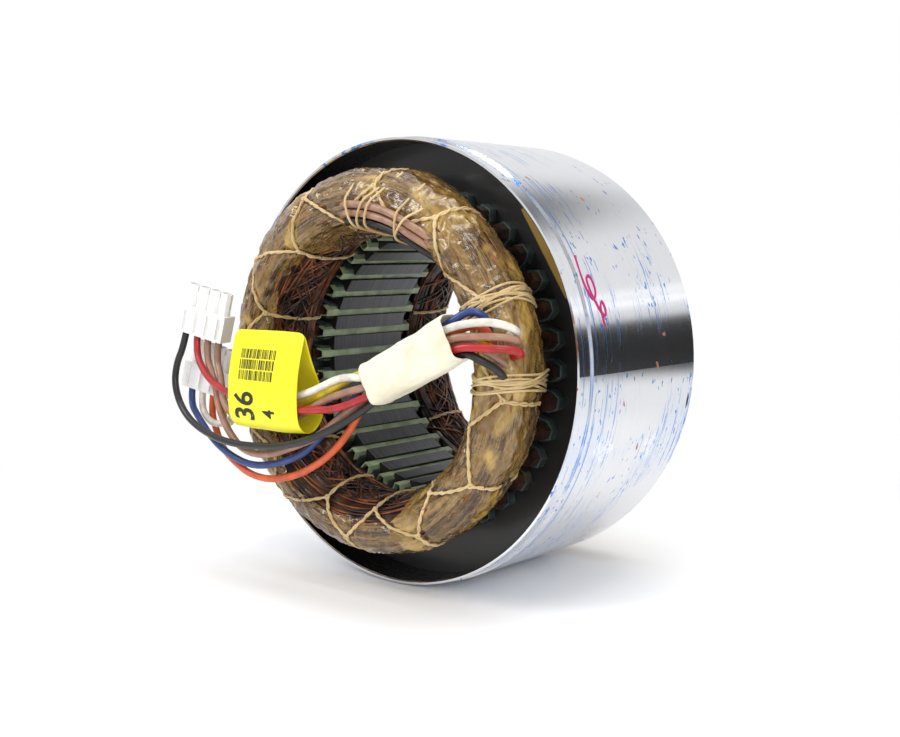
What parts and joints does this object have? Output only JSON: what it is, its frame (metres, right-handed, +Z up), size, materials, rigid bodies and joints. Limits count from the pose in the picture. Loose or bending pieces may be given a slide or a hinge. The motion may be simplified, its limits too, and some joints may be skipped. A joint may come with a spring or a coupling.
{
  "type": "wound stator",
  "caption": "Wound stator: slotted lamination stack pressed in a plain steel sleeve, laced end windings, and eight leads to two plugs.",
  "frame": {"origin": "on the bore axis, in the middle of the length of the sleeve's seat", "axes": "+Y along the bore axis from the lead end to the far end, +Z up as it lies, +X to the right seen from the lead end"},
  "size_m": [0.2199, 0.1728, 0.21],
  "materials": {
    "steel_sleeve": "ground steel, blue dye traces and light rust specks",
    "lamination": "dark varnished lamination edges",
    "liner": "dark green slot paper",
    "wedge": "pale green slot strip",
    "magnet_wire": "varnished copper wire, dark red brown",
    "film": "amber varnished film tape, crinkled",
    "twine": "waxed lacing cord",
    "lead_white": "lead insulation",
    "lead_brown": "lead insulation",
    "lead_red": "lead insulation",
    "lead_blue": "lead insulation",
    "lead_orange": "lead insulation",
    "lead_black": "lead insulation",
    "lead_yellow": "lead insulation",
    "sleeving": "cream woven sleeve",
    "tag": "yellow tag with plain bars and numbers",
    "plug": "natural nylon",
    "terminal": "tinned crimp terminals"
  },
  "bodies": {
    "root": {"frame_sleeve": "steel_sleeve", "lamination_stack": "lamination", "slot_liners": "liner", "slot_wedges": "wedge", "coil_sides_u": "magnet_wire", "coil_sides_v": "magnet_wire", "coil_sides_w": "magnet_wire", "front_end_winding": "magnet_wire", "rear_end_winding": "magnet_wire", "front_film_wrap": "film", "rear_film_wrap": "film", "front_lacing": "twine", "rear_lacing": "twine", "lead_tie": "twine", "jumper_leads": "lead_brown", "jumper_sleeving": "lead_brown", "lead_white": "lead_white", "lead_brown_1": "lead_brown", "lead_red": "lead_red", "lead_blue": "lead_blue", "lead_orange": "lead_orange", "lead_brown_2": "lead_brown", "lead_black": "lead_black", "lead_yellow": "lead_yellow", "lead_sleeve": "sleeving", "wire_tag": "tag", "plug_1_housing": "plug", "plug_1_terminals": "terminal", "plug_2_housing": "plug", "plug_2_terminals": "terminal"}
  },
  "joints": []
}
